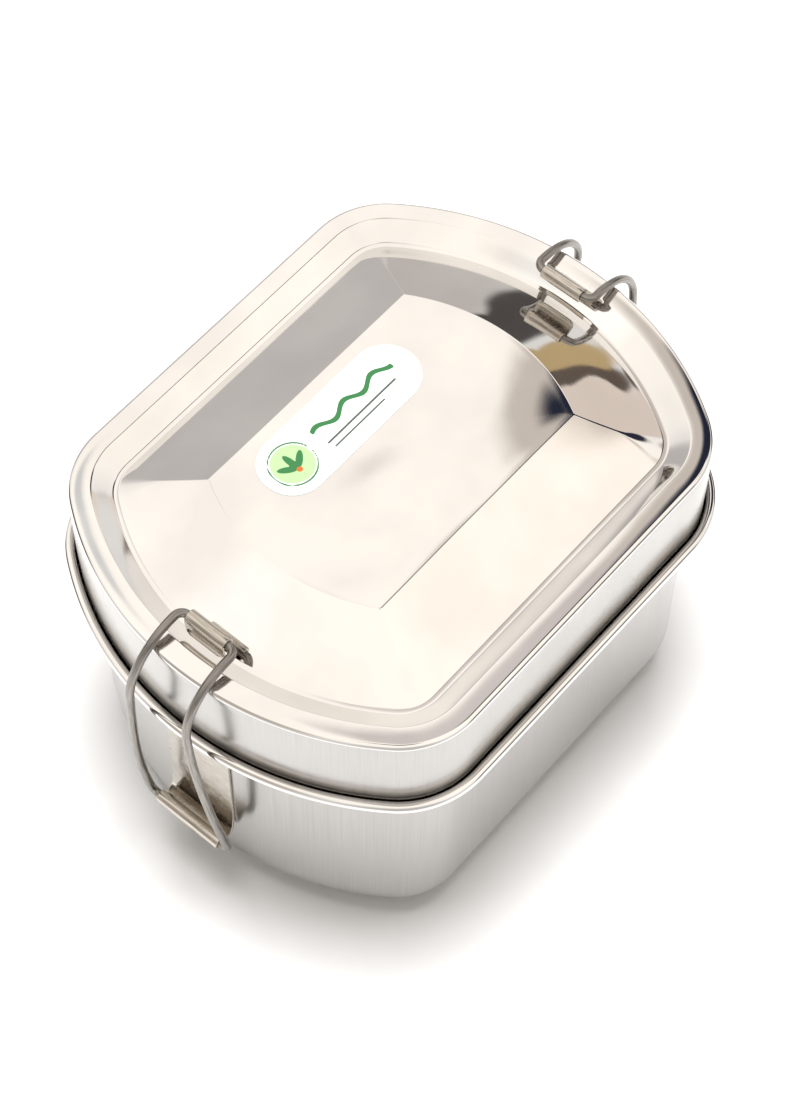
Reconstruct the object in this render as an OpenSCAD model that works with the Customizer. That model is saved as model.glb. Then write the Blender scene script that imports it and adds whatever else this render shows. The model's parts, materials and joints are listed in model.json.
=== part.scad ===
// Stainless-steel tiffin carrier: a deep pan, a deep lid and a wire-bail clip on each end.
// The long axis is X, the floor of the pan rests on z = 0, and the origin is in its middle.

/* [Plan shape] */
// Length of the lid, measured over its skirt
lid_length = 159; // [140:1:200]
// Width of the lid, measured over its skirt
lid_width = 125; // [100:1:150]
// Radius of the two curved ends
end_radius = 89; // [80:1:120]
// Radius of the four rounded corners
corner_radius = 24; // [22:1:30]

/* [Pan] */
// Height of the pan up to the ledge that carries the lid
pan_height = 79; // [66:1:95]
// Sheet thickness of the pan
pan_wall = 0.8; // [0.6:0.1:1.0]
// How far the pan's wall stands inside the lid's skirt
pan_inset = 3.6; // [3:0.1:4.5]
// Outer radius of the pan's bottom edge
bottom_radius = 16; // [10:1:17]
// Diameter of the rolled bead at the rim
bead_d = 3; // [2.6:0.1:3.6]
// Free play between the lid's skirt and the bead
skirt_play = 0.35; // [0.3:0.05:0.6]

/* [Lid] */
// Height of the lid from its skirt's edge to its outer band
lid_depth = 27; // [20:1:32]
// Sheet thickness of the lid
lid_sheet = 0.7; // [0.6:0.1:0.8]
// Outer radius of the lid's top edge
lid_edge_radius = 1.5; // [1.2:0.1:2]
// Width of the flat outer band, from the skirt inward
band_w = 5.9; // [5:0.1:6.5]
// Distance from the skirt to the foot of the step
step_w = 11.2; // [10:0.1:12]
// Distance from the skirt to the inner side of the groove
groove_w = 12.6; // [12.2:0.1:14]
// Depth of the groove below the band
groove_depth = 3.5; // [2.5:0.1:4]
// Distance from the skirt to the edge of the plateau
plateau_inset = 34.4; // [32:0.1:38]
// Height of the plateau above the band
plateau_rise = 6; // [4:0.5:8]

/* [Label] */
// Length of the label
label_l = 54; // [30:1:60]
// Width of the label
label_w = 18.5; // [12:0.5:24]
// Distance of the label's centre from the middle, towards the front
label_x = 2.5; // [0:0.5:6]
// Gap between the label and the plateau's straight edge
label_gap = 3.6; // [1:0.1:6]
// Thickness of the label
label_t = 0.2; // [0.1:0.1:0.3]

/* [Clips] */
// Diameter of the bail's wire
wire_d = 2.3; // [2:0.1:2.6]
// Radial clearance of the wire in both barrels
wire_fit = 0.05; // [0.03:0.01:0.08]
// Sheet thickness of the brackets and latches
clip_sheet = 0.8; // [0.6:0.1:0.9]
// Width of each bracket and its barrel
bracket_w = 21.4; // [17:0.2:24]
// Height of the bracket's barrel above the ground
barrel_z = 27; // [24:1:34]
// Distance from the pan's wall to the axis of the bracket's barrel
barrel_out = 5.4; // [5:0.1:6]
// Inner radius of the trough between the bracket's plate and its barrel
trough_radius = 3.2; // [3:0.1:3.4]
// Radius of the bends at the bail's corners, to the wire's centre
bail_bend = 2.4; // [2:0.1:3]
// Distance from the lid's skirt to the axis of the bail's upper crossbar
crossbar_in = 11.5; // [10:0.1:12]
// Height of the upper crossbar's axis above the lid's band
crossbar_up = 4; // [3.6:0.1:4.6]
// Radius of the bail's upper curve, to the wire's centre
crown_bend = 17; // [16:0.5:19]
// Width of each latch
latch_w = 12.5; // [10:0.5:14]
// Height of the latch's lip above the lid's band
lip_up = 0.3; // [0.3:0.1:0.6]
// Gap between each end of a barrel and the bail's bend
end_gap = 0.3; // [0.2:0.1:0.6]

/* [Hidden] */
$fn = 72;

// Plan geometry: each offset from the skirt is made of straights and tangent arcs
half_l = lid_length / 2;
half_w = lid_width / 2;
end_x = half_l - end_radius;
corner_least = 0.6;

// Steps that the curves are drawn with
end_steps = 18;
corner_steps = 9;
edge_steps = 7;
bead_steps = 12;
lid_edge_steps = 4;
wire_sides = 16;
bend_steps = 6;
bow_steps = 6;
crown_steps = 14;

// Heights
seat_gap = 0.15;
skirt_z = pan_height + seat_gap;
band_z = skirt_z + lid_depth;
groove_z = band_z - groove_depth;
plateau_z = band_z + plateau_rise;
crown_slope = (plateau_z - groove_z) / (plateau_inset - groove_w);
function crown_z(o) = groove_z + crown_slope * (o - groove_w);

// Bead
bead_r = bead_d / 2;
bead_o = -skirt_play - bead_r;
bead_z = pan_height - 0.3;

// Clips: w is the distance outward from the middle of the box
wire_r = wire_d / 2;
bore_r = wire_r + wire_fit;
roll_r = bore_r + clip_sheet;
wall_w = half_l - pan_inset;
barrel_w = wall_w + barrel_out;
crossbar_w = half_l - crossbar_in;
crossbar_z = band_z + crossbar_up;
strand_y = bracket_w / 2 + end_gap + bail_bend;
strand_top_y = latch_w / 2 + end_gap + bail_bend;

// The bail's side view: from the lower corner's bend a wide bow rises to bow_z, where it is
// furthest out, and the crown's arc carries it over the lid's edge to the upper corner's bend
crown_w = crossbar_w + bail_bend;
bow_w = crown_w + crown_bend;
bow_z = crossbar_z - crown_bend;
bow_run = bow_w - barrel_w;
bow_rise = bow_z - barrel_z;
bow_radius = (pow(bow_run, 2) + pow(bow_rise, 2) - pow(bail_bend, 2)) / (2 * bow_run);
bow_angle = atan2(bow_rise, bow_radius - bow_run) - atan2(bail_bend, bow_radius);

steel = "lightsteelblue";

// Points of an arc, from first to last of its n equal steps
function arc(x, y, r, from, to, n, first, last) =
    [for (i = [first:last]) let (a = from + (to - from) * i / n) [x + r * cos(a), y + r * sin(a)]];

// Points of the plan shape at an inset; its corners are never sharper than corner_least
function outline(o) =
    let (r = max(corner_radius - o, corner_least),
         y = half_w - o - r,
         x = end_x + sqrt(pow(end_radius - o - r, 2) - pow(y, 2)),
         a = atan2(y, x - end_x))
    concat(
        arc(end_x, 0, end_radius - o, -a, a, end_steps, 1, end_steps - 1),
        arc(x, y, r, a, 90, corner_steps, 0, corner_steps),
        arc(-x, y, r, 90, 180 - a, corner_steps, 0, corner_steps),
        arc(-end_x, 0, end_radius - o, 180 - a, 180 + a, end_steps, 1, end_steps - 1),
        arc(-x, -y, r, 180 + a, 270, corner_steps, 0, corner_steps),
        arc(x, -y, r, 270, 360 - a, corner_steps, 0, corner_steps));

// Skins the rings that a section's points make round the plan shape, and closes both ends
module skin(section) {
    n = len(outline(0));
    last = len(section) - 1;
    polyhedron(
        points = [for (s = section, p = outline(s[0])) [p[0], p[1], s[1]]],
        faces = concat(
            [[for (i = [0:n - 1]) i]],
            [for (k = [0:last - 1], i = [0:n - 1]) [k * n + i, k * n + n + i, k * n + (i + 1) % n]],
            [for (k = [0:last - 1], i = [0:n - 1])
                [k * n + n + i, k * n + n + (i + 1) % n, k * n + (i + 1) % n]],
            [[for (i = [0:n - 1]) last * n + n - 1 - i]]));
}

module quarter_ring(outer, sheet) {
    intersection() {
        difference() {
            circle(outer);
            circle(outer - sheet);
        }
        translate([-outer - 1, -outer - 1]) square(outer + 1);
    }
}

// Section of the pan as (inset, height): up the outside, round the bead, back down the inside
function edge_arc(inset, floor_z, r, up) =
    [for (k = [0:edge_steps]) let (a = (up ? k : edge_steps - k) * 90 / edge_steps)
        [inset + r * (1 - sin(a)), floor_z + r * (1 - cos(a))]];
function bead_arc() =
    let (under = -asin((bead_z - pan_height + pan_wall) / bead_r),
         over = asin((pan_height - bead_z) / bead_r) - 360)
    [for (k = [0:bead_steps]) let (a = under + (over - under) * k / bead_steps)
        [bead_o + bead_r * cos(a), bead_z + bead_r * sin(a)]];
function pan_section() = concat(
    edge_arc(pan_inset, 0, bottom_radius, true),
    [[pan_inset, pan_height - pan_wall]],
    bead_arc(),
    [[pan_inset + pan_wall, pan_height]],
    edge_arc(pan_inset + pan_wall, pan_wall, bottom_radius - pan_wall, false));

module body_pan() color(steel) skin(pan_section());

// Section of the lid as (inset, height): from the plateau's underside outward and down the inside
// of the skirt, then up its outside and back to the top of the plateau
function lid_edge(r, up) =
    [for (k = [0:lid_edge_steps]) let (a = (up ? k : lid_edge_steps - k) * 90 / lid_edge_steps)
        [lid_edge_radius - r * cos(a), band_z - lid_edge_radius + r * sin(a)]];
function crown_insets() =
    let (hip = corner_radius - corner_least)
    [groove_w, hip, (hip + plateau_inset) / 2, plateau_inset];
function lid_section() = concat(
    [for (k = [3:-1:0]) [crown_insets()[k], crown_z(crown_insets()[k]) - lid_sheet]],
    [[step_w - 0.2, groove_z - lid_sheet], [band_w - 0.2, band_z - lid_sheet]],
    lid_edge(lid_edge_radius - lid_sheet, false),
    [[lid_sheet, skirt_z], [0, skirt_z]],
    lid_edge(lid_edge_radius, true),
    [[band_w, band_z], [step_w, groove_z]],
    [for (o = crown_insets()) [o, crown_z(o)]]);

module lid() color("gainsboro") skin(lid_section());

module label() color("white") {
    y = half_w - plateau_inset - label_gap - label_w / 2;
    translate([-label_x, y, plateau_z]) linear_extrude(label_t) {
        square([label_l - label_w, label_w], center = true);
        for (side = [-1, 1]) translate([side * (label_l - label_w) / 2, 0]) circle(d = label_w);
    }
}

// Draws an end's pieces at +X; the front ones are the mirror image
module at_end(front) {
    mirror([front ? 1 : 0, 0, 0]) children();
}

// A section drawn in (outward, height), carried across the clip's width
module across(width) {
    rotate([90, 0, 0]) linear_extrude(width, center = true) children();
}

module bracket() color("silver") {
    plate_top = pan_height - pan_wall - 0.4;
    trough_r = trough_radius + clip_sheet;
    bottom_z = barrel_z - roll_r;
    intersection() {
        translate([end_x, 0, bottom_z + trough_r]) rotate([0, 0, -10])
            rotate_extrude(angle = 20) translate([end_radius - pan_inset, 0])
                square([clip_sheet, plate_top - bottom_z - trough_r]);
        translate([0, -bracket_w / 2, 0]) cube([lid_length, bracket_w, band_z]);
    }
    difference() {
        across(bracket_w) translate([wall_w + 0.05, 0]) {
            translate([0, bottom_z + trough_r]) square([clip_sheet, 5]);
            translate([trough_r, bottom_z + trough_r]) quarter_ring(trough_r, clip_sheet);
            translate([trough_r, bottom_z]) square([barrel_out - trough_r, clip_sheet]);
            translate([barrel_out - 0.05, barrel_z]) circle(roll_r);
        }
        translate([barrel_w, 0, barrel_z]) rotate([90, 0, 0])
            cylinder(h = bracket_w + 2, r = bore_r, center = true);
    }
}

module front_bracket() at_end(true) bracket();
module rear_bracket() at_end(false) bracket();

// One ring of the wire's surface, about a point, in the plane of two unit vectors
function wire_ring(p, e1, e2) =
    [for (i = [0:wire_sides - 1]) let (a = 360 * i / wire_sides)
        p + wire_r * (cos(a) * e1 + sin(a) * e2)];

// Rings round a corner of the bail at a crossbar, where up is the strand's direction
function corner_rings(w, z, up, side, steps) =
    let (centre = [w, strand_y - bail_bend, z] + bail_bend * up)
    [for (a = steps) let (radial = [0, sin(a), 0] - cos(a) * up)
        wire_ring(centre + bail_bend * radial, side, radial)];

// Rings along a bend of the strand in the XZ plane
function strand_rings(w, z, r, from, to, n) =
    [for (i = [1:n]) let (a = from + (to - from) * i / n, radial = [cos(a), 0, sin(a)])
        wire_ring([w, strand_y, z] + r * radial, radial, [0, 1, 0])];

// Rings of the bail's +Y half, from the lower crossbar up to the upper one
function half_bail() = concat(
    corner_rings(barrel_w, barrel_z, [sin(bow_angle), 0, cos(bow_angle)],
                 [cos(bow_angle), 0, -sin(bow_angle)], [0 : 90 / bend_steps : 90]),
    strand_rings(bow_w - bow_radius, bow_z, bow_radius, -bow_angle, 0, bow_steps),
    strand_rings(crown_w, bow_z, crown_bend, 0, 90, crown_steps),
    corner_rings(crossbar_w, crossbar_z, [1, 0, 0], [0, 0, 1],
                 [for (i = [1:bend_steps]) 90 - 90 * i / bend_steps]));

// Moves a point of the +Y half inward, so that the strands come closer together towards the top
function drawn_in(p) =
    let (low = barrel_z + bail_bend,
         high = crossbar_z - wire_r,
         t = min(max((p[2] - low) / (high - low), 0), 1))
    [p[0], p[1] - (strand_y - strand_top_y) * t * t * (3 - 2 * t), p[2]];

module bail() color("darkgray") {
    half = [for (ring = half_bail()) [for (p = ring) drawn_in(p)]];
    count = len(half);
    other = [for (k = [count - 1:-1:0]) [for (p = half[k]) [p[0], -p[1], p[2]]]];
    rings = concat(half, other);
    total = 2 * count;
    polyhedron(
        points = [for (ring = rings, p = ring) p],
        faces = [for (k = [0:total - 1], i = [0:wire_sides - 1], half_face = [0, 1])
            let (a = k * wire_sides,
                 b = (k + 1) % total * wire_sides,
                 j = (i + 1) % wire_sides)
            half_face == 0 ? [a + i, b + i, a + j] : [b + i, b + j, a + j]]);
}

module front_bail() at_end(true) bail();
module rear_bail() at_end(false) bail();

module latch() color("silver") {
    lip_r = 0.6;
    lip_z = band_z + lip_up + lip_r;
    web_w = crossbar_w + bore_r + 0.05;
    web = clip_sheet - 0.05;
    difference() {
        across(latch_w) {
            translate([crossbar_w, crossbar_z]) circle(roll_r);
            translate([web_w, lip_z]) square([web, crossbar_z - lip_z]);
            translate([web_w + web - lip_r, lip_z]) circle(lip_r);
        }
        translate([crossbar_w, 0, crossbar_z]) rotate([90, 0, 0])
            cylinder(h = latch_w + 2, r = bore_r, center = true);
    }
}

module front_latch() at_end(true) latch();
module rear_latch() at_end(false) latch();

body_pan();
lid();
label();
front_bracket();
rear_bracket();
front_bail();
rear_bail();
front_latch();
rear_latch();
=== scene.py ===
"""A stainless-steel tiffin carrier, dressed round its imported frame: pan, lid, two wire clips, label."""

import json
import logging
import math
from dataclasses import dataclass, field
from enum import Enum
from typing import Callable, Sequence

import bpy
import numpy as np
from mathutils import Matrix, Vector


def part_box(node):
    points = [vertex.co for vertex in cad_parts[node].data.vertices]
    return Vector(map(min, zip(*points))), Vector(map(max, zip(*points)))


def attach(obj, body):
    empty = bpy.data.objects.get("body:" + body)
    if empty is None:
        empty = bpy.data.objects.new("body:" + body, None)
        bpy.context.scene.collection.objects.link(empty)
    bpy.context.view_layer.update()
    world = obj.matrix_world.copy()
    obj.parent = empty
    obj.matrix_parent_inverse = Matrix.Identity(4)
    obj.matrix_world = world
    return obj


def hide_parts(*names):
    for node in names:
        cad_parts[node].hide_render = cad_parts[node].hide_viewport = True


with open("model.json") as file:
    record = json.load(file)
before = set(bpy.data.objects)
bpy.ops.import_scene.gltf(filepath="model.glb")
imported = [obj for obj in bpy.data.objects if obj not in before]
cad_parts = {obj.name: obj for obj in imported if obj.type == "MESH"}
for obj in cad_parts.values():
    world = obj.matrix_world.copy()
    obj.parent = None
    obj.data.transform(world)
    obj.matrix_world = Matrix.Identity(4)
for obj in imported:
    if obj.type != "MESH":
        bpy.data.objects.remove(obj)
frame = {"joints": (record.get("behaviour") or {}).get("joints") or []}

log = logging.getLogger("tiffin")
MM = 0.001
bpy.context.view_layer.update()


def linear(hex_colour: str) -> tuple[float, float, float, float]:
    """Turns an sRGB hex colour into the linear colour that a shader takes.

    Args:
        hex_colour: A colour as "#RRGGBB".

    Returns:
        Red, green, blue and alpha, linear.
    """
    parts = [int(hex_colour[i : i + 2], 16) / 255 for i in (1, 3, 5)]
    low = [c / 12.92 if c <= 0.04045 else ((c + 0.055) / 1.055) ** 2.4 for c in parts]
    return (low[0], low[1], low[2], 1.0)


def add(tree: bpy.types.NodeTree, kind: str, links: dict | None = None,
        **settings: object) -> bpy.types.Node:
    """Adds one node, sets it and links it.

    Args:
        tree: The node tree that takes the node.
        kind: The node's type name.
        links: For each input, by name or number, the value or the output socket it takes.
        **settings: Properties of the node itself.

    Returns:
        The new node.
    """
    node = tree.nodes.new(kind)
    for name, value in settings.items():
        setattr(node, name, value)
    for socket, value in (links or {}).items():
        if isinstance(value, bpy.types.NodeSocket):
            tree.links.new(value, node.inputs[socket])
        else:
            node.inputs[socket].default_value = value
    return node


def ramp(tree: bpy.types.NodeTree, value: bpy.types.NodeSocket,
         stops: Sequence[tuple]) -> bpy.types.NodeSocket:
    """Runs a value through a colour ramp.

    Args:
        tree: The node tree.
        value: The socket that drives the ramp.
        stops: Pairs of a place and a linear colour or a grey level.

    Returns:
        The ramp's colour socket.
    """
    node = add(tree, "ShaderNodeValToRGB", {0: value})
    elements = node.color_ramp.elements
    for i, (place, shade) in enumerate(stops):
        item = elements[i] if i < 2 else elements.new(place)
        item.position = place
        item.color = shade if isinstance(shade, tuple) else (shade, shade, shade, 1.0)
    return node.outputs[0]


def smoothstep(low: float, high: float, x: np.ndarray) -> np.ndarray:
    """Rises smoothly from 0 at low to 1 at high.

    Args:
        low: Where it starts to rise.
        high: Where it reaches 1.
        x: The places to work it out at.

    Returns:
        A value from 0 to 1 for each place.
    """
    t = np.clip((x - low) / (high - low), 0, 1)
    return t * t * (3 - 2 * t)


class Finish:
    """The base of every finish: it makes a named material with one shader."""

    name = "finish"

    def start(self) -> tuple[bpy.types.Material, bpy.types.NodeTree, bpy.types.Node]:
        """Makes the material and its shader.

        Returns:
            The material, its node tree and its Principled shader.
        """
        material = bpy.data.materials.new(self.name)
        material.use_nodes = True
        tree = material.node_tree
        return material, tree, tree.nodes["Principled BSDF"]


@dataclass(frozen=True)
class MirrorSteel(Finish):
    """Stainless steel buffed to a mirror: a sharp image under faint orange peel and hazy patches."""

    name: str = "mirror_polished_stainless"
    light: str = "#EEECEA"
    dull: str = "#E3E1DF"
    roughness: tuple[float, float] = (0.03, 0.12)
    haze_mm: float = 28.0
    wave_mm: float = 13.0
    wave_depth_mm: float = 0.03
    peel_mm: float = 0.55
    peel_depth_mm: float = 0.0011

    def material(self) -> bpy.types.Material:
        """Builds the material.

        Returns:
            The material, with a metal's default IOR.
        """
        material, tree, shader = self.start()
        place = add(tree, "ShaderNodeTexCoord").outputs["Object"]
        patches = add(tree, "ShaderNodeTexNoise", {"Vector": place,
                                                   "Scale": 1 / (self.haze_mm * MM), "Detail": 3.0})
        shade = ramp(tree, patches.outputs[0], [(0.35, linear(self.dull)), (0.65, linear(self.light))])
        tree.links.new(shade, shader.inputs["Base Color"])
        haze = add(tree, "ShaderNodeMapRange", {0: patches.outputs[0], 1: 0.4, 2: 0.75,
                                                3: self.roughness[0], 4: self.roughness[1]})
        tree.links.new(haze.outputs[0], shader.inputs["Roughness"])
        # orange peel left by pressing, about half a millimetre across, drawn a little coarse to show
        peel = add(tree, "ShaderNodeTexNoise", {"Vector": place, "Detail": 2.0,
                                                "Scale": 1 / (self.peel_mm * MM)})
        wave = add(tree, "ShaderNodeTexNoise", {"Vector": place, "Detail": 1.0,
                                                "Scale": 1 / (self.wave_mm * MM)})
        soft = add(tree, "ShaderNodeBump", {"Strength": 1.0, "Distance": self.wave_depth_mm * MM,
                                            "Height": wave.outputs[0]})
        fine = add(tree, "ShaderNodeBump", {"Strength": 1.0, "Distance": self.peel_depth_mm * MM,
                                            "Height": peel.outputs[0], "Normal": soft.outputs[0]})
        tree.links.new(fine.outputs[0], shader.inputs["Normal"])
        shader.inputs["Metallic"].default_value = 1.0
        return material


@dataclass(frozen=True)
class DrawnSteel(Finish):
    """Deep-drawn stainless steel with a satin polish: soft reflections and fine upright draw lines."""

    name: str = "satin_drawn_stainless"
    light: str = "#BDBBB9"
    dull: str = "#B2B0AE"
    roughness: tuple[float, float] = (0.17, 0.27)
    line_mm: float = 0.35
    line_length_mm: float = 42.0
    zone_mm: tuple[float, float] = (21.0, 60.0)
    line_depth_mm: float = 0.0035

    def material(self) -> bpy.types.Material:
        """Builds the material; its lines run up the wall, along the second texture coordinate.

        Returns:
            The material, with a metal's default IOR.
        """
        material, tree, shader = self.start()
        uv = add(tree, "ShaderNodeTexCoord").outputs["UV"]
        drawn = add(tree, "ShaderNodeMapping", {0: uv, 3: (1 / self.line_mm, 1 / self.line_length_mm, 1.0)})
        lines = add(tree, "ShaderNodeTexNoise", {"Vector": drawn.outputs[0], "Scale": 1.0, "Detail": 4.0})
        bands = add(tree, "ShaderNodeMapping", {0: uv, 3: (1 / self.zone_mm[0], 1 / self.zone_mm[1], 1.0)})
        zones = add(tree, "ShaderNodeTexNoise", {"Vector": bands.outputs[0], "Scale": 1.0, "Detail": 2.0})
        shade = ramp(tree, lines.outputs[0], [(0.3, linear(self.dull)), (0.7, linear(self.light))])
        tree.links.new(shade, shader.inputs["Base Color"])
        haze = add(tree, "ShaderNodeMapRange", {0: zones.outputs[0], 1: 0.3, 2: 0.7,
                                                3: self.roughness[0], 4: self.roughness[1]})
        tree.links.new(haze.outputs[0], shader.inputs["Roughness"])
        # the lines stand out only in patches, where the die rubbed
        rubbed = ramp(tree, zones.outputs[0], [(0.50, 0.06), (0.66, 1.0)])
        height = add(tree, "ShaderNodeMath", {0: lines.outputs[0], 1: rubbed}, operation="MULTIPLY")
        bump = add(tree, "ShaderNodeBump", {"Strength": 1.0, "Distance": self.line_depth_mm * MM,
                                            "Height": height.outputs[0]})
        tree.links.new(bump.outputs[0], shader.inputs["Normal"])
        shader.inputs["Metallic"].default_value = 1.0
        return material


@dataclass(frozen=True)
class ClipSteel(Finish):
    """Polished stainless strip, bent and rolled: warm grey with fine grinding marks across the bends."""

    name: str = "polished_stainless_strip"
    light: str = "#CFC8BF"
    dull: str = "#A9A297"
    roughness: tuple[float, float] = (0.12, 0.3)
    mark_mm: float = 0.25
    mark_length_mm: float = 7.0
    mark_depth_mm: float = 0.004
    spot_mm: float = 3.5

    def material(self) -> bpy.types.Material:
        """Builds the material.

        Returns:
            The material, with a metal's default IOR.
        """
        material, tree, shader = self.start()
        place = add(tree, "ShaderNodeTexCoord").outputs["Object"]
        across = add(tree, "ShaderNodeMapping", {0: place, 3: (1 / (self.mark_mm * MM),
                                                              1 / (self.mark_length_mm * MM),
                                                              1 / (self.mark_mm * MM))})
        marks = add(tree, "ShaderNodeTexNoise", {"Vector": across.outputs[0], "Scale": 1.0, "Detail": 3.0})
        spots = add(tree, "ShaderNodeTexNoise", {"Vector": place,
                                                 "Scale": 1 / (self.spot_mm * MM), "Detail": 3.0})
        shade = ramp(tree, marks.outputs[0], [(0.3, linear(self.dull)), (0.65, linear(self.light))])
        tree.links.new(shade, shader.inputs["Base Color"])
        haze = add(tree, "ShaderNodeMapRange", {0: spots.outputs[0], 1: 0.3, 2: 0.7,
                                                3: self.roughness[0], 4: self.roughness[1]})
        tree.links.new(haze.outputs[0], shader.inputs["Roughness"])
        bump = add(tree, "ShaderNodeBump", {"Strength": 1.0, "Distance": self.mark_depth_mm * MM,
                                            "Height": marks.outputs[0]})
        tree.links.new(bump.outputs[0], shader.inputs["Normal"])
        shader.inputs["Metallic"].default_value = 1.0
        return material


@dataclass(frozen=True)
class WireSteel(Finish):
    """Drawn spring wire: darker than the sheet, with faint die lines along its length."""

    name: str = "drawn_spring_wire"
    light: str = "#A5A19C"
    dull: str = "#75706B"
    roughness: tuple[float, float] = (0.24, 0.4)
    line_mm: float = 0.4
    line_length_mm: float = 9.0
    line_depth_mm: float = 0.008

    def material(self) -> bpy.types.Material:
        """Builds the material; its lines follow the wire, along the second texture coordinate.

        Returns:
            The material, with a metal's default IOR.
        """
        material, tree, shader = self.start()
        uv = add(tree, "ShaderNodeTexCoord").outputs["UV"]
        along = add(tree, "ShaderNodeMapping", {0: uv, 3: (1 / self.line_mm, 1 / self.line_length_mm, 1.0)})
        lines = add(tree, "ShaderNodeTexNoise", {"Vector": along.outputs[0], "Scale": 1.0, "Detail": 3.0})
        shade = ramp(tree, lines.outputs[0], [(0.3, linear(self.dull)), (0.68, linear(self.light))])
        tree.links.new(shade, shader.inputs["Base Color"])
        haze = add(tree, "ShaderNodeMapRange", {0: lines.outputs[0], 1: 0.3, 2: 0.7,
                                                3: self.roughness[0], 4: self.roughness[1]})
        tree.links.new(haze.outputs[0], shader.inputs["Roughness"])
        bump = add(tree, "ShaderNodeBump", {"Strength": 1.0, "Distance": self.line_depth_mm * MM,
                                            "Height": lines.outputs[0]})
        tree.links.new(bump.outputs[0], shader.inputs["Normal"])
        shader.inputs["Metallic"].default_value = 1.0
        return material


@dataclass(frozen=True)
class CoatedPaper(Finish):
    """A semi-gloss coated paper sticker, printed with a plain sprig, a wavy rule and two thin lines."""

    name: str = "coated_paper_sticker"
    paper: str = "#DDE3DF"
    leaf: str = "#2F6B3C"
    pale_leaf: str = "#A3C28E"
    line: str = "#4A504C"
    kernel: str = "#C05F2A"
    shade: str = "#D3DAD5"
    fibre_mm: float = 0.6
    fibre_depth_mm: float = 0.004
    ink_edge_mm: float = 0.06

    def material(self) -> bpy.types.Material:
        """Builds the material from the distances that the label's mesh carries, in millimetres.

        Returns:
            The material.
        """
        material, tree, shader = self.start()
        place = add(tree, "ShaderNodeTexCoord").outputs["Object"]
        fibre = add(tree, "ShaderNodeTexNoise", {"Vector": place, "Detail": 3.0,
                                                 "Scale": 1 / (self.fibre_mm * MM)})
        colour = ramp(tree, fibre.outputs[0], [(0.3, linear(self.shade)), (0.7, linear(self.paper))])
        inks = (("disc", self.pale_leaf), ("rule", self.leaf), ("fine", self.line), ("sprig", self.leaf),
                ("kernel", self.kernel))
        for name, ink in inks:
            distance = add(tree, "ShaderNodeAttribute", attribute_name=name).outputs["Fac"]
            inside = add(tree, "ShaderNodeMapRange", {0: distance, 1: self.ink_edge_mm, 2: -self.ink_edge_mm,
                                                      3: 0.0, 4: 1.0})
            mixed = add(tree, "ShaderNodeMix", {0: inside.outputs[0], 6: colour, 7: linear(ink)},
                        data_type="RGBA")
            colour = mixed.outputs[2]
        tree.links.new(colour, shader.inputs["Base Color"])
        gloss = add(tree, "ShaderNodeMapRange", {0: fibre.outputs[0], 1: 0.3, 2: 0.7, 3: 0.28, 4: 0.4})
        tree.links.new(gloss.outputs[0], shader.inputs["Roughness"])
        bump = add(tree, "ShaderNodeBump", {"Strength": 1.0, "Distance": self.fibre_depth_mm * MM,
                                            "Height": fibre.outputs[0]})
        tree.links.new(bump.outputs[0], shader.inputs["Normal"])
        shader.inputs["IOR"].default_value = 1.5
        return material


@dataclass(frozen=True)
class Plan:
    """The plan in millimetres: straight long sides, ends curved to a large radius, rounded corners."""

    half_length: float
    half_width: float
    end_radius: float = 89.0
    corner_radius: float = 24.0
    corner_least: float = 0.8
    end_steps: int = 56
    corner_steps: int = 22
    side_steps: int = 30

    def ring(self, inset: float) -> np.ndarray:
        """Makes one ring of points, anticlockwise from above, that starts on the +X end.

        Args:
            inset: How far the ring lies inside the lid's skirt.

        Returns:
            An array of x and y, one row a point.
        """
        end_x = self.half_length - self.end_radius
        r = max(self.corner_radius - inset, self.corner_least)
        y = self.half_width - inset - r
        x = end_x + math.sqrt((self.end_radius - inset - r) ** 2 - y**2)
        a = math.atan2(y, x - end_x)
        big = self.end_radius - inset
        end = [(end_x + big * math.cos(t), big * math.sin(t))
               for t in np.linspace(-a, a, self.end_steps + 1)[1:-1]]
        corner = [(x + r * math.cos(t), y + r * math.sin(t))
                  for t in np.linspace(a, math.pi / 2, self.corner_steps + 1)]
        side = [(s, y + r) for s in np.linspace(x, -x, self.side_steps + 1)[1:-1]]
        half = end + corner + side + [(-px, py) for px, py in reversed(corner)]
        return np.array(half + [(-px, -py) for px, py in half])


def rounded(points: Sequence[tuple], steps: int = 6) -> np.ndarray:
    """Rounds the corners of an open line.

    Args:
        points: Corners as (x, y, radius); the first and last stay as they are.
        steps: How many steps each rounded corner takes.

    Returns:
        An array of points.
    """
    out = [np.array(points[0][:2], float)]
    for before, here, after in zip(points, points[1:], points[2:]):
        p, radius = np.array(here[:2], float), here[2]
        u, v = np.array(before[:2]) - p, np.array(after[:2]) - p
        lu, lv = np.linalg.norm(u), np.linalg.norm(v)
        u, v = u / lu, v / lv
        half = math.acos(float(np.clip(u @ v, -1, 1))) / 2
        if radius <= 0 or half > math.pi / 2 - 1e-3:
            out.append(p)
            continue
        reach = min(radius / math.tan(half), 0.48 * lu, 0.48 * lv)
        r = reach * math.tan(half)
        centre = p + (u + v) / np.linalg.norm(u + v) * (r / math.sin(half))
        start, stop = p + u * reach - centre, p + v * reach - centre
        turn = math.atan2(start[0] * stop[1] - start[1] * stop[0], start @ stop)
        for t in np.linspace(0, turn, steps + 1):
            c, s = math.cos(t), math.sin(t)
            out.append(centre + np.array([c * start[0] - s * start[1], s * start[0] + c * start[1]]))
    out.append(np.array(points[-1][:2], float))
    return np.array(out)


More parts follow.
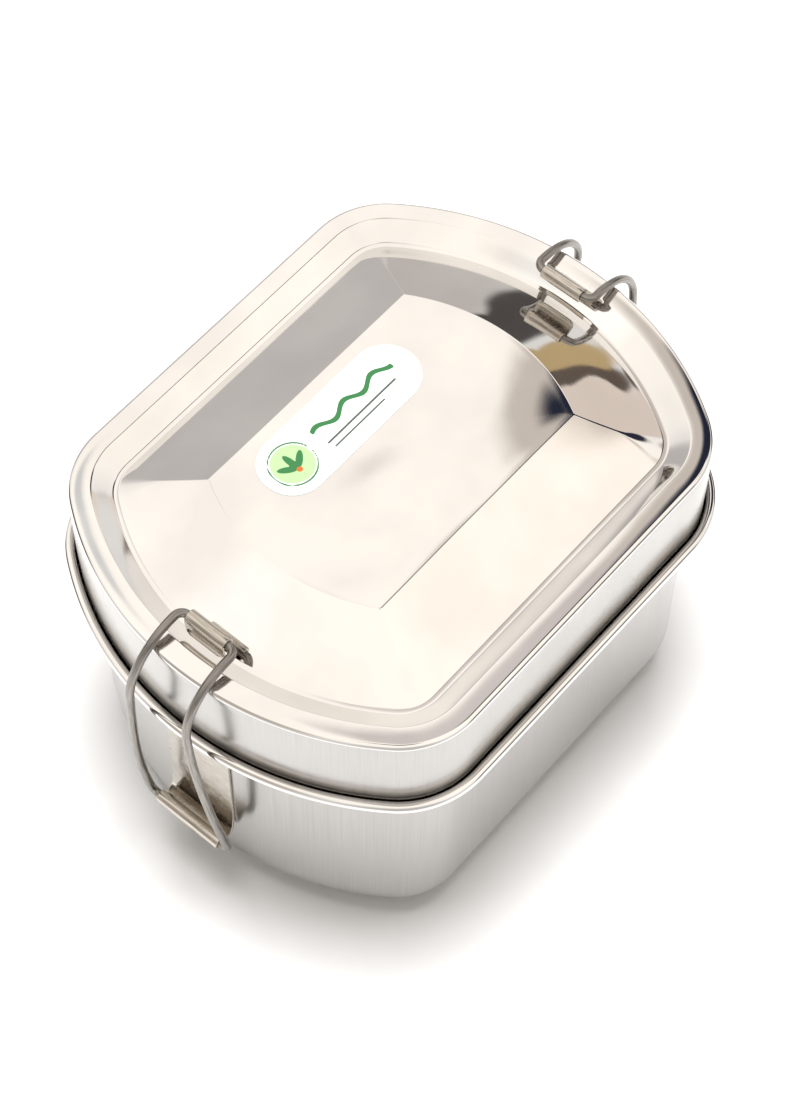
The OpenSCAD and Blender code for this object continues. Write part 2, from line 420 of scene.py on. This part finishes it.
def finer(line: np.ndarray, step: float) -> np.ndarray:
    """Adds points to an open line so that no stretch of it is longer than step.

    Args:
        line: The line's points.
        step: The longest stretch allowed.

    Returns:
        The line with the added points.
    """
    out = [line[0]]
    for a, b in zip(line, line[1:]):
        n = max(1, math.ceil(np.linalg.norm(b - a) / step))
        out += [a + (b - a) * k / n for k in range(1, n + 1)]
    return np.array(out)


def new_piece(name: str, points: np.ndarray, faces: Sequence,
              uv: np.ndarray | None = None) -> bpy.types.Object:
    """Makes a smooth-shaded object from points in millimetres.

    Args:
        name: The piece's name.
        points: One row a point.
        faces: Lists of point numbers.
        uv: One row for each corner of each face, in millimetres, or None.

    Returns:
        The new object.
    """
    mesh = bpy.data.meshes.new(name)
    mesh.from_pydata((np.asarray(points) * MM).tolist(), [], [list(map(int, f)) for f in faces])
    mesh.polygons.foreach_set("use_smooth", [True] * len(mesh.polygons))
    if uv is not None:
        layer = mesh.uv_layers.new(name="UVMap")
        layer.data.foreach_set("uv", np.asarray(uv, np.float32).ravel())
    mesh.update()
    piece = bpy.data.objects.new(name, mesh)
    bpy.context.scene.collection.objects.link(piece)
    return piece


def skin(name: str, rings: Sequence[np.ndarray], first: bool = True, last: bool = True,
         loop: bool = False) -> bpy.types.Object:
    """Skins closed rings that have as many points each.

    Args:
        name: The piece's name.
        rings: Arrays of x, y and z in millimetres.
        first: Whether the first ring is closed with a fan.
        last: Whether the last ring is closed with a fan.
        loop: Whether the last ring joins the first.

    Returns:
        The new object; its texture coordinates run round the rings and from ring to ring, in millimetres.
    """
    n, count = len(rings[0]), len(rings)
    points = np.vstack(rings)
    widest = max(rings, key=lambda r: np.linalg.norm(np.roll(r, -1, 0) - r, axis=1).sum())
    round_mm = np.concatenate([[0], np.cumsum(np.linalg.norm(np.roll(widest, -1, 0) - widest, axis=1))])
    steps = [np.linalg.norm(rings[(k + 1) % count] - rings[k], axis=1).max() for k in range(count)]
    up_mm = np.concatenate([[0], np.cumsum(steps)])
    faces: list[list[int]] = []
    uv: list[tuple[float, float]] = []
    for k in range(count if loop else count - 1):
        a, b = k * n, (k + 1) % count * n
        for i in range(n):
            j = (i + 1) % n
            faces.append([a + i, a + j, b + j, b + i])
            uv += [(round_mm[i], up_mm[k]), (round_mm[i + 1], up_mm[k]),
                   (round_mm[i + 1], up_mm[k + 1]), (round_mm[i], up_mm[k + 1])]
    for closed, ring_no, flip in ((first, 0, True), (last, count - 1, False)):
        if closed and not loop:
            middle = len(points)
            points = np.vstack([points, rings[ring_no].mean(0)])
            for i in range(n):
                j = (i + 1) % n
                pair = [ring_no * n + j, ring_no * n + i] if flip else [ring_no * n + i, ring_no * n + j]
                faces.append([middle] + pair)
                uv += [(round_mm[i], up_mm[ring_no])] * 3
    return new_piece(name, points, faces, uv)


def dress(piece: bpy.types.Object, materials: Sequence[bpy.types.Material], body: str, node: str) -> None:
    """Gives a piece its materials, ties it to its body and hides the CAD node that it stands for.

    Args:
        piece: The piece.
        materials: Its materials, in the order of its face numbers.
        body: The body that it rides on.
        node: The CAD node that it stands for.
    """
    for material in materials:
        piece.data.materials.append(material)
    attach(piece, body)
    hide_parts(node)
    log.info("%s: %d faces on %s", piece.name, len(piece.data.polygons), body)


@dataclass
class Lid:
    """The pressed lid: skirt, flat band, step, groove, sloped crown and plateau. Millimetres."""

    plan: Plan
    foot_z: float
    top_z: float
    sheet: float = 0.7
    edge: float = 1.5
    band_w: float = 5.9
    step_w: float = 11.2
    groove_w: float = 12.6
    groove_depth: float = 3.5
    plateau_inset: float = 34.4
    plateau_rise: float = 6.0
    fall: float = 2.3
    fall_at: tuple[float, float] = (54.0, -38.0)
    fall_reach: tuple[float, float] = (14.5, 13.0)
    mirror: MirrorSteel = field(default_factory=MirrorSteel)
    satin: DrawnSteel = field(default_factory=DrawnSteel)

    @property
    def band_z(self) -> float:
        """Height of the flat outer band."""
        return self.top_z - self.plateau_rise

    def profile(self) -> np.ndarray:
        """Draws the sheet's section from the plateau's underside, round the foot, to the plateau's top.

        Returns:
            Points as (inset, height).
        """
        t, groove_z = self.sheet, self.band_z - self.groove_depth
        inner = [(self.plateau_inset + 3, self.top_z - t, 0), (self.plateau_inset, self.top_z - t, 1.2),
                 (self.groove_w + 0.1, groove_z - t, 0.8), (self.step_w - 0.3, groove_z - t, 0.8),
                 (self.band_w - 0.3, self.band_z - t, 0.8), (t, self.band_z - t, self.edge - t),
                 (t, self.foot_z, 0.2), (0, self.foot_z, 0.2), (0, self.band_z, self.edge),
                 (self.band_w, self.band_z, 0.9), (self.step_w, groove_z, 0.9),
                 (self.groove_w, groove_z, 0.7),
                 (self.plateau_inset, self.top_z, 1.3), (self.plateau_inset + 3, self.top_z, 0)]
        return finer(rounded(inner), 2.2)

    def dents(self, xy: np.ndarray, inset: float) -> np.ndarray:
        """Gives the slow waves of a thin pressed sheet, which a mirror finish shows.

        Args:
            xy: Points in plan.
            inset: How far they lie inside the skirt.

        Returns:
            Each point's change of height.
        """
        x, y = xy[:, 0], xy[:, 1]
        waves = 0.16 * np.sin(x / 17 + 0.8 * np.sin(y / 14) + 1.1) * np.cos(y / 15 - x / 40 + 0.4)
        waves += 0.07 * np.sin(x / 8.5 + y / 12 + 2.0) * np.cos(y / 7.5 - 0.6)
        hollow = -0.35 * np.exp(-(((x + 6) / 17) ** 2 + ((y + 4) / 12) ** 2))
        # the plateau rounds off towards its rear corner on the -Y side
        far_x, far_y = (x - self.fall_at[0]) / self.fall_reach[0], (y - self.fall_at[1]) / self.fall_reach[1]
        hollow -= self.fall * np.exp(-(far_x**2 + far_y**2) / 2)
        calm = float(smoothstep(self.groove_w + 4, self.plateau_inset + 4, np.array([inset]))[0])
        return (waves + hollow - 0.1) * calm

    def build(self) -> bpy.types.Object:
        """Builds the lid's mesh.

        Returns:
            The lid, with its skirt's faces on the second material.
        """
        profile = self.profile()
        rings = []
        for inset, z in profile:
            xy = self.plan.ring(inset)
            rings.append(np.column_stack([xy, z + self.dents(xy, inset)]))
        top, under = rings[-1], rings[0]
        scales = np.linspace(1, 0.02, 34)[1:]

        def shrunk(ring: np.ndarray, z: float, scale: float) -> np.ndarray:
            """Draws one ring in towards the middle.

            Args:
                ring: The ring to draw in.
                z: Its height before the waves.
                scale: How far it is drawn in.

            Returns:
                The new ring.
            """
            xy = ring[:, :2] * scale
            return np.column_stack([xy, z + self.dents(xy, self.plateau_inset + 4)])

        inside = [shrunk(under, self.top_z - self.sheet, s) for s in scales[::-1]]
        outside = [shrunk(top, self.top_z, s) for s in scales]
        piece = skin("lid_shell", inside + rings + outside)
        middles = np.array([p.center.z for p in piece.data.polygons]) / MM
        upright = np.array([abs(p.normal.z) for p in piece.data.polygons]) < 0.25
        skirt = upright & (middles < self.band_z - 0.6 * self.edge)
        piece.data.polygons.foreach_set("material_index", skirt.astype(np.int32))
        return piece

    def place(self) -> None:
        """Builds the lid and dresses it."""
        dress(self.build(), [self.mirror.material(), self.satin.material()], "lid", "lid")


@dataclass
class Pan:
    """The deep-drawn pan: floor, rounded bottom edge, wall, ledge and rolled bead. Millimetres."""

    plan: Plan
    height: float
    wall: float = 0.8
    inset: float = 3.6
    bottom_radius: float = 16.0
    bead_d: float = 3.0
    bead_drop: float = 0.3
    bead_arc_deg: tuple[float, float] = (-20.0, -348.5)
    skirt_play: float = 0.35
    ledge_out: float = 2.4
    straight: float = 12.0
    rim_depth: float = 2.2
    satin: DrawnSteel = field(default_factory=lambda: DrawnSteel(name="satin_drawn_stainless_pan"))
    polished: MirrorSteel = field(
        default_factory=lambda: MirrorSteel(name="polished_rolled_bead", peel_depth_mm=0.0006))

    def profile(self) -> np.ndarray:
        """Draws the pan's section up the outside, round the bead and down the inside.

        Returns:
            Points as (inset, height).
        """
        o, r, t, h = self.inset, self.bottom_radius, self.wall, self.height
        bead = self.bead_d / 2
        middle = (-self.skirt_play - bead, h - self.bead_drop)
        turn = np.radians(np.linspace(*self.bead_arc_deg, 29))
        low = [(o + r * (1 - math.sin(a)), r * (1 - math.cos(a))) for a in np.linspace(0, math.pi / 2, 15)]
        rim = [(middle[0] + bead * math.cos(a), middle[1] + bead * math.sin(a)) for a in turn]
        ri = r - t
        high = [(o + t + ri * (1 - math.sin(a)), t + ri * (1 - math.cos(a)))
                for a in np.linspace(math.pi / 2, 0, 15)]
        ledge, foot = o - self.ledge_out, h - self.straight
        corner = rounded([(o, foot, 0), (o, h - t, 0.8), (ledge, h - t, 0)])
        shoulder = rounded([(ledge, h, 0), (o + t, h, 0.9), (o + t, foot, 0)])
        line = np.vstack([low, corner, rim, shoulder, high])
        return finer(line, 5.0)

    def build(self) -> bpy.types.Object:
        """Builds the pan's mesh.

        Returns:
            The pan, with its rim's faces on the second material.
        """
        rings = []
        for inset, z in self.profile():
            xy = self.plan.ring(inset)
            rings.append(np.column_stack([xy, np.full(len(xy), z)]))
        piece = skin("pan_shell", rings)
        middles = np.array([tuple(p.center) for p in piece.data.polygons]) / MM
        rim = middles[:, 2] > self.height - self.rim_depth
        piece.data.polygons.foreach_set("material_index", rim.astype(np.int32))
        return piece

    def place(self) -> None:
        """Builds the pan and dresses it."""
        materials = [self.satin.material(), self.polished.material()]
        dress(self.build(), materials, "pan", "body_pan")


@dataclass
class Label:
    """The sticker on the plateau: a stadium that follows the lid's waves. Millimetres."""

    lid: Lid
    centre: tuple[float, float]
    length: float
    width: float
    thickness: float = 0.12
    seat: float = 0.01
    paper: CoatedPaper = field(default_factory=CoatedPaper)

    def distances(self, x: np.ndarray, y: np.ndarray) -> dict[str, np.ndarray]:
        """Measures how far each point is outside each printed shape.

        Args:
            x: Places along the label from its middle.
            y: Places across it.

        Returns:
            A distance for each point and ink, negative inside.
        """
        s = self.width / 27
        dx = x + self.length / 2 - self.width / 2
        ring_out = np.hypot(dx, y) - 9.6 * s
        ring_in = 8.9 * s - np.hypot(dx, y)
        sprig = np.full(x.shape, 9.0)
        for turn in (-50, 0, 50):
            a = math.radians(turn + 90)
            stem_y = y + 3 * s
            u = dx * math.cos(a) + stem_y * math.sin(a)
            v = -dx * math.sin(a) + stem_y * math.cos(a)
            sprig = np.minimum(sprig, (np.hypot((u - 4.2 * s) / 4.0, v / 1.35) - s) * 1.35)
        ring = np.maximum(ring_out, ring_in)
        wave = 1.9 + 1.1 * np.sin((x - 2) / 1.7)
        rule = np.maximum(np.abs(y - wave) - 0.75, np.abs(x - 6.5) - 14.5)
        fine = np.minimum(np.maximum(np.abs(y + 2.6) - 0.3, np.abs(x - 5.5) - 13.0),
                          np.maximum(np.abs(y + 4.6) - 0.25, np.abs(x - 2.5) - 9.5))
        return {"disc": np.maximum(ring_out + 1.2 * s, -9.0), "rule": rule, "fine": fine,
                "sprig": np.minimum(sprig, ring), "kernel": np.hypot(dx, y + 3.4 * s) - 1.2 * s}

    def build(self) -> bpy.types.Object:
        """Builds the label as rings that shrink towards its middle.

        Returns:
            The label, which carries a distance for each ink.
        """
        half, r = self.length / 2 - self.width / 2, self.width / 2
        t = np.linspace(-math.pi / 2, math.pi / 2, 49)
        right = np.column_stack([half + r * np.cos(t), r * np.sin(t)])
        top = np.column_stack([np.linspace(half, -half, 40)[1:-1], np.full(38, r)])
        outline = np.vstack([right, top, -right, -top])
        rings = []
        lid_top = self.lid.top_z
        for k, scale in enumerate(np.concatenate([[1.0], np.linspace(1, 0.03, 44)])):
            xy = outline * scale
            world = xy + np.array(self.centre)
            lift = 0.0 if k == 0 else self.thickness
            z = lid_top + self.seat + lift + self.lid.dents(world, self.lid.plateau_inset + 4)
            rings.append(np.column_stack([world, z]))
        piece = skin("label_sticker", rings, first=False)
        points = np.array([tuple(v.co) for v in piece.data.vertices]) / MM
        # each printed shape is a distance on the mesh, which the paper's material turns to ink
        along, across = points[:, 0] - self.centre[0], points[:, 1] - self.centre[1]
        for name, distance in self.distances(along, across).items():
            layer = piece.data.attributes.new(name, "FLOAT", "POINT")
            layer.data.foreach_set("value", distance.astype(np.float32))
        return piece

    def place(self) -> None:
        """Builds the label and dresses it."""
        dress(self.build(), [self.paper.material()], "lid", "label")


class End(Enum):
    """The two ends that carry a clip, by the sign of X."""

    FRONT = -1
    REAR = 1


@dataclass
class Clip:
    """One end's bracket, bail and latch in millimetres, drawn outward along w and turned for the front."""

    end: End
    wall_w: float
    barrel_w: float
    barrel_z: float
    crossbar_w: float
    crossbar_z: float
    band_z: float
    ledge_z: float
    end_radius: float
    wire_d: float = 2.3
    wire_fit: float = 0.05
    sheet: float = 0.8
    bracket_w: float = 21.4
    latch_w: float = 12.5
    trough: float = 3.2
    bend: float = 2.4
    crown: float = 17.0
    end_gap: float = 0.3
    plate_gap: float = 0.05
    plate_drop: float = 1.2
    strip: ClipSteel = field(default_factory=ClipSteel)
    wire: WireSteel = field(default_factory=WireSteel)

    @property
    def name(self) -> str:
        """The end's name in the frame."""
        return self.end.name.lower()

    def outward(self, points: np.ndarray) -> np.ndarray:
        """Turns a clip's own places into the frame's: the front clip is the rear one turned half round.

        Args:
            points: Places as (w, y, z), with w away from the box.

        Returns:
            Places as (x, y, z).
        """
        out = np.array(points, float)
        if self.end is End.FRONT:
            out[:, 0] *= -1
            out[:, 1] *= -1
        return out

    def strip_piece(self, name: str, path: np.ndarray, width: float,
                    hollow: Callable[[np.ndarray, np.ndarray], np.ndarray] | None = None,
                    round_foot: float = 0.0) -> bpy.types.Object:
        """Sweeps sheet steel along a path in the (w, z) plane.

        Args:
            name: The piece's name.
            path: Points of the sheet's middle line.
            width: The strip's width along Y.
            hollow: How far each point moves inward along w, from its y and z.
            round_foot: The radius that the strip's last corners are rounded to.

        Returns:
            The strip.
        """
        tangent = np.gradient(path, axis=0)
        tangent /= np.linalg.norm(tangent, axis=1)[:, None]
        normal = np.column_stack([-tangent[:, 1], tangent[:, 0]])
        half, soft = self.sheet / 2 - 0.02, 0.16
        length = np.concatenate([[0], np.cumsum(np.linalg.norm(np.diff(path, axis=0), axis=1))])
        rings = []
        for k, (p, n) in enumerate(zip(path, normal)):
            wide = width / 2
            left = length[-1] - length[k]
            if round_foot and left < round_foot:
                wide -= round_foot - math.sqrt(max(round_foot**2 - (round_foot - left) ** 2, 0))
            cross = rounded([(0, half, 0), (wide, half, soft), (wide, -half, soft), (-wide, -half, soft),
                             (-wide, half, soft), (0, half, 0)], 3)[:-1]
            side = np.interp(np.linspace(0, 1, 7)[1:-1], [0, 1], [-wide + soft, wide - soft])
            under = [i for i, c in enumerate(cross) if c[1] < 0 and c[0] > 0][-1]
            over = np.column_stack([side, np.full(5, half)])
            below = np.column_stack([side[::-1], np.full(5, -half)])
            cross = np.vstack([over[2:], cross[1 : under + 1], below, cross[under + 1 :], over[:2]])
            ring = np.column_stack([p[0] + n[0] * cross[:, 1], cross[:, 0], p[1] + n[1] * cross[:, 1]])
            if hollow is not None:
                ring[:, 0] -= hollow(ring[:, 1], ring[:, 2])
            rings.append(self.outward(ring))
        return skin(name, rings)

    def bracket_path(self) -> np.ndarray:
        """Draws the bracket's middle line: down the plate, round the trough and round the barrel.

        Returns:
            Points as (w, z).
        """
        half, roll = self.sheet / 2, self.wire_d / 2 + self.wire_fit + self.sheet / 2
        low = self.barrel_z - roll
        r = self.trough + half
        plate_w = self.wall_w + self.plate_gap + half
        plate = [(plate_w, z) for z in np.linspace(self.ledge_z - self.plate_drop, low + r, 12)]
        trough = [(plate_w + r - r * math.cos(a), low + r - r * math.sin(a))
                  for a in np.linspace(0, math.pi / 2, 10)[1:]]
        barrel = [(self.barrel_w + roll * math.cos(a), self.barrel_z + roll * math.sin(a))
                  for a in np.radians(np.linspace(-90, 212, 40))]
        return np.array(plate + trough + barrel)

    def latch_path(self) -> np.ndarray:
        """Draws the latch's middle line: over the crossbar, down its outer side to the lip.

        Returns:
            Points as (w, z).
        """
        roll = self.wire_d / 2 + self.wire_fit + self.sheet / 2
        barrel = [(self.crossbar_w + roll * math.cos(a), self.crossbar_z + roll * math.sin(a))
                  for a in np.radians(np.linspace(236, 0, 34))]
        side = self.crossbar_w + roll
        web = rounded([(side, self.crossbar_z, 0), (side - 0.15, self.crossbar_z - 2.2, 1.0),
                       (side - 0.35, self.band_z + 0.1, 0.8), (side + 0.25, self.band_z - 0.75, 0)], 5)
        return np.vstack([barrel, finer(web[1:], 0.5)])

    def bail_rings(self) -> list[np.ndarray]:
        """Draws the closed loop of wire as rings round its middle line.

        Returns:
            One array of (w, y, z) for each ring.
        """
        r = self.wire_d / 2
        strand_y = self.bracket_w / 2 + self.end_gap + self.bend
        top_y = self.latch_w / 2 + self.end_gap + self.bend
        crown_w = self.crossbar_w + self.bend
        bow_w, bow_z = crown_w + self.crown, self.crossbar_z - self.crown
        run, rise = bow_w - self.barrel_w, bow_z - self.barrel_z
        big = (run**2 + rise**2 - self.bend**2) / (2 * run)
        lean = math.atan2(rise, big - run) - math.atan2(self.bend, big)
        around = np.linspace(0, 2 * math.pi, 21)[:-1]

        def ring(p: np.ndarray, e1: np.ndarray, e2: np.ndarray) -> np.ndarray:
            """Draws one ring round the point p, in the plane of e1 and e2."""
            return p + r * (np.outer(np.cos(around), e1) + np.outer(np.sin(around), e2))

        def corner(w: float, z: float, up: np.ndarray, side: np.ndarray,
                   turns: np.ndarray) -> list[np.ndarray]:
            """Bends the wire from along Y to up a strand.

            Args:
                w: The bend's place outward.
                z: Its height.
                up: The way that the strand leaves the bend.
                side: The way that is square to the bend.
                turns: The angles of its rings.

            Returns:
                The bend's rings.
            """
            centre = np.array([w, strand_y - self.bend, z]) + self.bend * up
            radial = [np.array([0, math.sin(a), 0]) - math.cos(a) * up for a in turns]
            return [ring(centre + self.bend * v, side, v) for v in radial]

        def strand(w: float, z: float, big_r: float, turns: np.ndarray) -> list[np.ndarray]:
            """Runs the wire along an arc at one side of the clip.

            Args:
                w: The arc's centre outward.
                z: Its centre's height.
                big_r: The arc's radius.
                turns: The angles of its rings.

            Returns:
                The arc's rings.
            """
            radial = [np.array([math.cos(a), 0, math.sin(a)]) for a in turns]
            return [ring(np.array([w, strand_y, z]) + big_r * v, v, np.array([0, 1, 0])) for v in radial]

        quarter = np.linspace(0, math.pi / 2, 11)
        half = corner(self.barrel_w, self.barrel_z, np.array([math.sin(lean), 0, math.cos(lean)]),
                      np.array([math.cos(lean), 0, -math.sin(lean)]), quarter)
        half += strand(bow_w - big, bow_z, big, np.linspace(-lean, 0, 17)[1:])
        half += strand(crown_w, bow_z, self.crown, np.linspace(0, math.pi / 2, 25)[1:])
        half += corner(self.crossbar_w, self.crossbar_z, np.array([1, 0, 0]), np.array([0, 0, 1]),
                       quarter[::-1][1:])
        low, high = self.barrel_z + self.bend, self.crossbar_z - r
        for k in half:
            # the strands lean in towards the narrower latch
            k[:, 1] -= (strand_y - top_y) * smoothstep(low, high, k[:, 2])
        return half + [k * np.array([1, -1, 1]) for k in reversed(half)]

    def place(self) -> None:
        """Builds the three pieces and dresses them."""
        strip, wire = self.strip.material(), self.wire.material()

        def curved(y: np.ndarray, z: np.ndarray) -> np.ndarray:
            """Hollows the bracket's plate to the pan's curved end, and leaves its barrel straight.

            Args:
                y: Each point's place across the clip.
                z: Each point's height.

            Returns:
                How far each point moves inward.
            """
            sag = self.end_radius - np.sqrt(self.end_radius**2 - y**2)
            return sag * smoothstep(self.barrel_z + 1.0, self.barrel_z + 5.0, z)

        bracket = self.strip_piece(f"{self.name}_bracket_strip", self.bracket_path(), self.bracket_w,
                                   curved)
        dress(bracket, [strip], "pan", f"{self.name}_bracket")
        latch = self.strip_piece(f"{self.name}_latch_strip", self.latch_path(), self.latch_w, None, 1.6)
        dress(latch, [strip], f"{self.name}_latch", f"{self.name}_latch")
        rings = [self.outward(k) for k in self.bail_rings()]
        bail = skin(f"{self.name}_bail_wire", rings, loop=True)
        dress(bail, [wire], f"{self.name}_bail", f"{self.name}_bail")


@dataclass(frozen=True)
class Lobe:
    """A soft-edged patch of the studio's surroundings, placed by its bearing from +X and its height."""

    bearing_deg: float
    height_deg: float
    inner_deg: float
    outer_deg: float
    colour: tuple[float, float, float]


@dataclass
class Studio:
    """The table, the soft surroundings, the lights and the camera.

    The surroundings are a pale tent with darker and brighter patches in it. The steel mirrors them, while
    matt surfaces get only the share called fill, so that the lamp lays the contact shadow.
    """

    lobes: Sequence[Lobe] = (
        Lobe(66, 12, 14, 27, (0.60, 0.57, 0.55)),
        Lobe(63, 3, 4, 10, (0.95, 0.90, 0.84)),
        Lobe(34, 11, 5, 12, (0.60, 0.56, 0.53)),
        Lobe(1, 26, 5.5, 9, (0.84, 0.72, 0.64)),
        Lobe(22.5, 14.5, 4.6, 6.0, (0.09, 0.08, 0.075)),
        Lobe(8.2, 21, 2.6, 3.6, (0.13, 0.10, 0.08)),
        Lobe(12.7, 19, 3.3, 4.0, (0.56, 0.41, 0.21)),
        Lobe(25, 66, 7, 9.5, (0.72, 0.655, 0.63)),
        Lobe(24, 55, 4.2, 6.6, (0.70, 0.625, 0.56)),
        Lobe(9, 54, 8, 11, (0.02, 0.025, 0.045)),
        Lobe(-6, 41, 8, 11, (0.03, 0.03, 0.05)),
        Lobe(3, 66, 5, 8, (0.03, 0.03, 0.045)),
        Lobe(-66, 12, 5, 11, (0.06, 0.06, 0.06)),
        Lobe(160, 13, 5, 11, (0.06, 0.06, 0.05)),
        Lobe(-14, 8, 9, 16, (0.05, 0.05, 0.05)),
        Lobe(112, 6, 10, 18, (0.06, 0.06, 0.05)),
        Lobe(0, 88, 3, 7, (0.05, 0.055, 0.06)),
        Lobe(-31, 53, 3, 9, (0.60, 0.51, 0.43)),
        Lobe(-47, 57, 6, 16, (1.30, 1.20, 1.08)),
        Lobe(57, 58, 2, 4, (0.75, 0.75, 0.74)),
        Lobe(148, 49, 6, 16, (1.28, 1.27, 1.22)),
        Lobe(170, 30, 10, 30, (0.55, 0.50, 0.44)),
        Lobe(-130, 20, 12, 34, (0.62, 0.60, 0.58)),
    )
    fill: float = 0.5
    lamp_side: float = 0.6
    lamp_watts: float = 19.0
    lamp_at: tuple[float, float, float] = (0.05, 0.06, 1.15)
    table_half_mm: float = 8000.0
    table_drop_mm: float = 0.1
    bearing_deg: float = -49.92
    elevation_deg: float = 59.0
    distance: float = 0.6923
    roll_deg: float = 0.53
    aim_mm: tuple[float, float] = (-20.2, -17.4)
    lens_mm: float = 92.18

    def surroundings(self) -> None:
        """Lights the scene from a soft pale tent, warm overhead and grey low down."""
        world = bpy.data.worlds.new("pale_tent")
        bpy.context.scene.world = world
        world.use_nodes = True
        tree = world.node_tree
        way = add(tree, "ShaderNodeTexCoord").outputs["Generated"]
        height = add(tree, "ShaderNodeSeparateXYZ", {0: way}).outputs[2]
        colour = ramp(tree, height, [(0.0, (0.80, 0.78, 0.76, 1)), (0.30, (0.86, 0.84, 0.81, 1)),
                                     (0.62, (1.22, 1.16, 1.08, 1)), (1.0, (1.24, 1.17, 1.08, 1))])
        for lobe in self.lobes:
            turn, rise = math.radians(lobe.bearing_deg), math.radians(lobe.height_deg)
            flat = math.cos(rise)
            axis = Vector((math.cos(turn) * flat, math.sin(turn) * flat, math.sin(rise)))
            facing = add(tree, "ShaderNodeVectorMath", {0: way, 1: tuple(axis)}, operation="DOT_PRODUCT")
            outer, inner = (math.cos(math.radians(d)) for d in (lobe.outer_deg, lobe.inner_deg))
            share = add(tree, "ShaderNodeMapRange",
                        {0: facing.outputs["Value"], 1: outer, 2: inner, 3: 0.0, 4: 1.0},
                        interpolation_type="SMOOTHSTEP")
            mixed = add(tree, "ShaderNodeMix", {0: share.outputs[0], 6: colour, 7: (*lobe.colour, 1.0)},
                        data_type="RGBA")
            colour = mixed.outputs[2]
        background = tree.nodes["Background"]
        tree.links.new(colour, background.inputs[0])
        matt = add(tree, "ShaderNodeLightPath").outputs["Is Diffuse Ray"]
        share = add(tree, "ShaderNodeMapRange", {0: matt, 1: 0.0, 2: 1.0, 3: 1.0, 4: self.fill})
        tree.links.new(share.outputs[0], background.inputs[1])

    def table(self) -> None:
        """Lays the plain pale table."""
        material = bpy.data.materials.new("matt_white_laminate")
        material.use_nodes = True
        tree = material.node_tree
        shader = tree.nodes["Principled BSDF"]
        place = add(tree, "ShaderNodeTexCoord").outputs["Object"]
        grain = add(tree, "ShaderNodeTexNoise", {"Vector": place, "Scale": 60.0, "Detail": 2.0})
        shade = ramp(tree, grain.outputs[0], [(0.3, 0.90), (0.7, 0.92)])
        tree.links.new(shade, shader.inputs["Base Color"])
        shader.inputs["Roughness"].default_value = 0.9
        shader.inputs["Specular IOR Level"].default_value = 0.1
        size, low = self.table_half_mm, -self.table_drop_mm
        table = new_piece("table", np.array([(-size, -size, low), (size, -size, low), (size, size, low),
                                             (-size, size, low)]), [[0, 1, 2, 3]])
        table.data.materials.append(material)

    def lamps(self) -> None:
        """Hangs one soft lamp almost straight overhead, which lights the table and lays the shadow."""
        lamp = bpy.data.lights.new("overhead_softbox", "AREA")
        lamp.shape, lamp.energy = "RECTANGLE", self.lamp_watts
        lamp.size = lamp.size_y = self.lamp_side
        lamp.color = (1.0, 1.0, 1.0)
        hung = bpy.data.objects.new("overhead_softbox", lamp)
        hung.location = self.lamp_at
        hung.rotation_euler = (Vector((0, 0, 0)) - hung.location).to_track_quat("-Z", "Y").to_euler()
        hung.visible_glossy = False
        bpy.context.scene.collection.objects.link(hung)

    def camera(self, band_z: float) -> None:
        """Sets the camera.

        Args:
            band_z: Height of the lid's band in millimetres, which the camera aims at.
        """
        a, e = math.radians(self.bearing_deg), math.radians(self.elevation_deg)
        back = Vector((math.sin(a) * math.cos(e), -math.cos(a) * math.cos(e), math.sin(e)))
        right = Vector((math.cos(a), math.sin(a), 0))
        up = back.cross(right)
        roll = math.radians(self.roll_deg)
        level, rise = right, up
        right = level * math.cos(roll) + rise * math.sin(roll)
        up = rise * math.cos(roll) - level * math.sin(roll)
        data = bpy.data.cameras.new("camera")
        data.sensor_width, data.lens, data.clip_end = 36.0, self.lens_mm, 50.0
        camera = bpy.data.objects.new("camera", data)
        turn = Matrix((right, up, back)).transposed().to_4x4()
        where = Vector((self.aim_mm[0] * MM, self.aim_mm[1] * MM, band_z * MM)) + back * self.distance
        camera.matrix_world = Matrix.Translation(where) @ turn
        bpy.context.scene.collection.objects.link(camera)
        bpy.context.scene.camera = camera
        bpy.context.scene.view_settings.view_transform = "Standard"

    def place(self, band_z: float) -> None:
        """Sets up everything that isn't part of the object.

        Args:
            band_z: Height of the lid's band, in millimetres.
        """
        self.camera(band_z)
        self.surroundings()
        self.table()
        self.lamps()


def joint(name: str) -> dict:
    """Finds one of the record's joints by its name."""
    return next(j for j in frame["joints"] if j["name"] == name)


def main() -> None:
    """Builds the pieces in order and sets the studio round them."""
    logging.basicConfig(level=logging.INFO, format="%(message)s")
    low, high = (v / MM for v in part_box("lid"))
    plan = Plan(half_length=high.x, half_width=high.y)
    lid = Lid(plan, foot_z=low.z, top_z=high.z)
    studio = Studio()
    studio.place(lid.band_z)
    pan = Pan(plan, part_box("body_pan")[1].z / MM - (Pan.bead_d / 2 - Pan.bead_drop))
    pan.place()
    lid.place()
    paper_low, paper_high = (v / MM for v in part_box("label"))
    middle = (paper_low + paper_high) / 2
    Label(lid, (middle.x, middle.y), paper_high.x - paper_low.x, paper_high.y - paper_low.y).place()
    for end in End:
        barrel = joint(f"{end.name.lower()}_bail_swing")["pos_m"]
        crossbar = joint(f"{end.name.lower()}_latch_turn")["pos_m"]
        Clip(end, wall_w=high.x - pan.inset, barrel_w=abs(barrel[0]) / MM, barrel_z=barrel[2] / MM,
             crossbar_w=abs(crossbar[0]) / MM, crossbar_z=crossbar[2] / MM, band_z=lid.band_z,
             ledge_z=pan.height - pan.wall, end_radius=plan.end_radius - pan.inset).place()


if __name__ == "__main__":
    main()
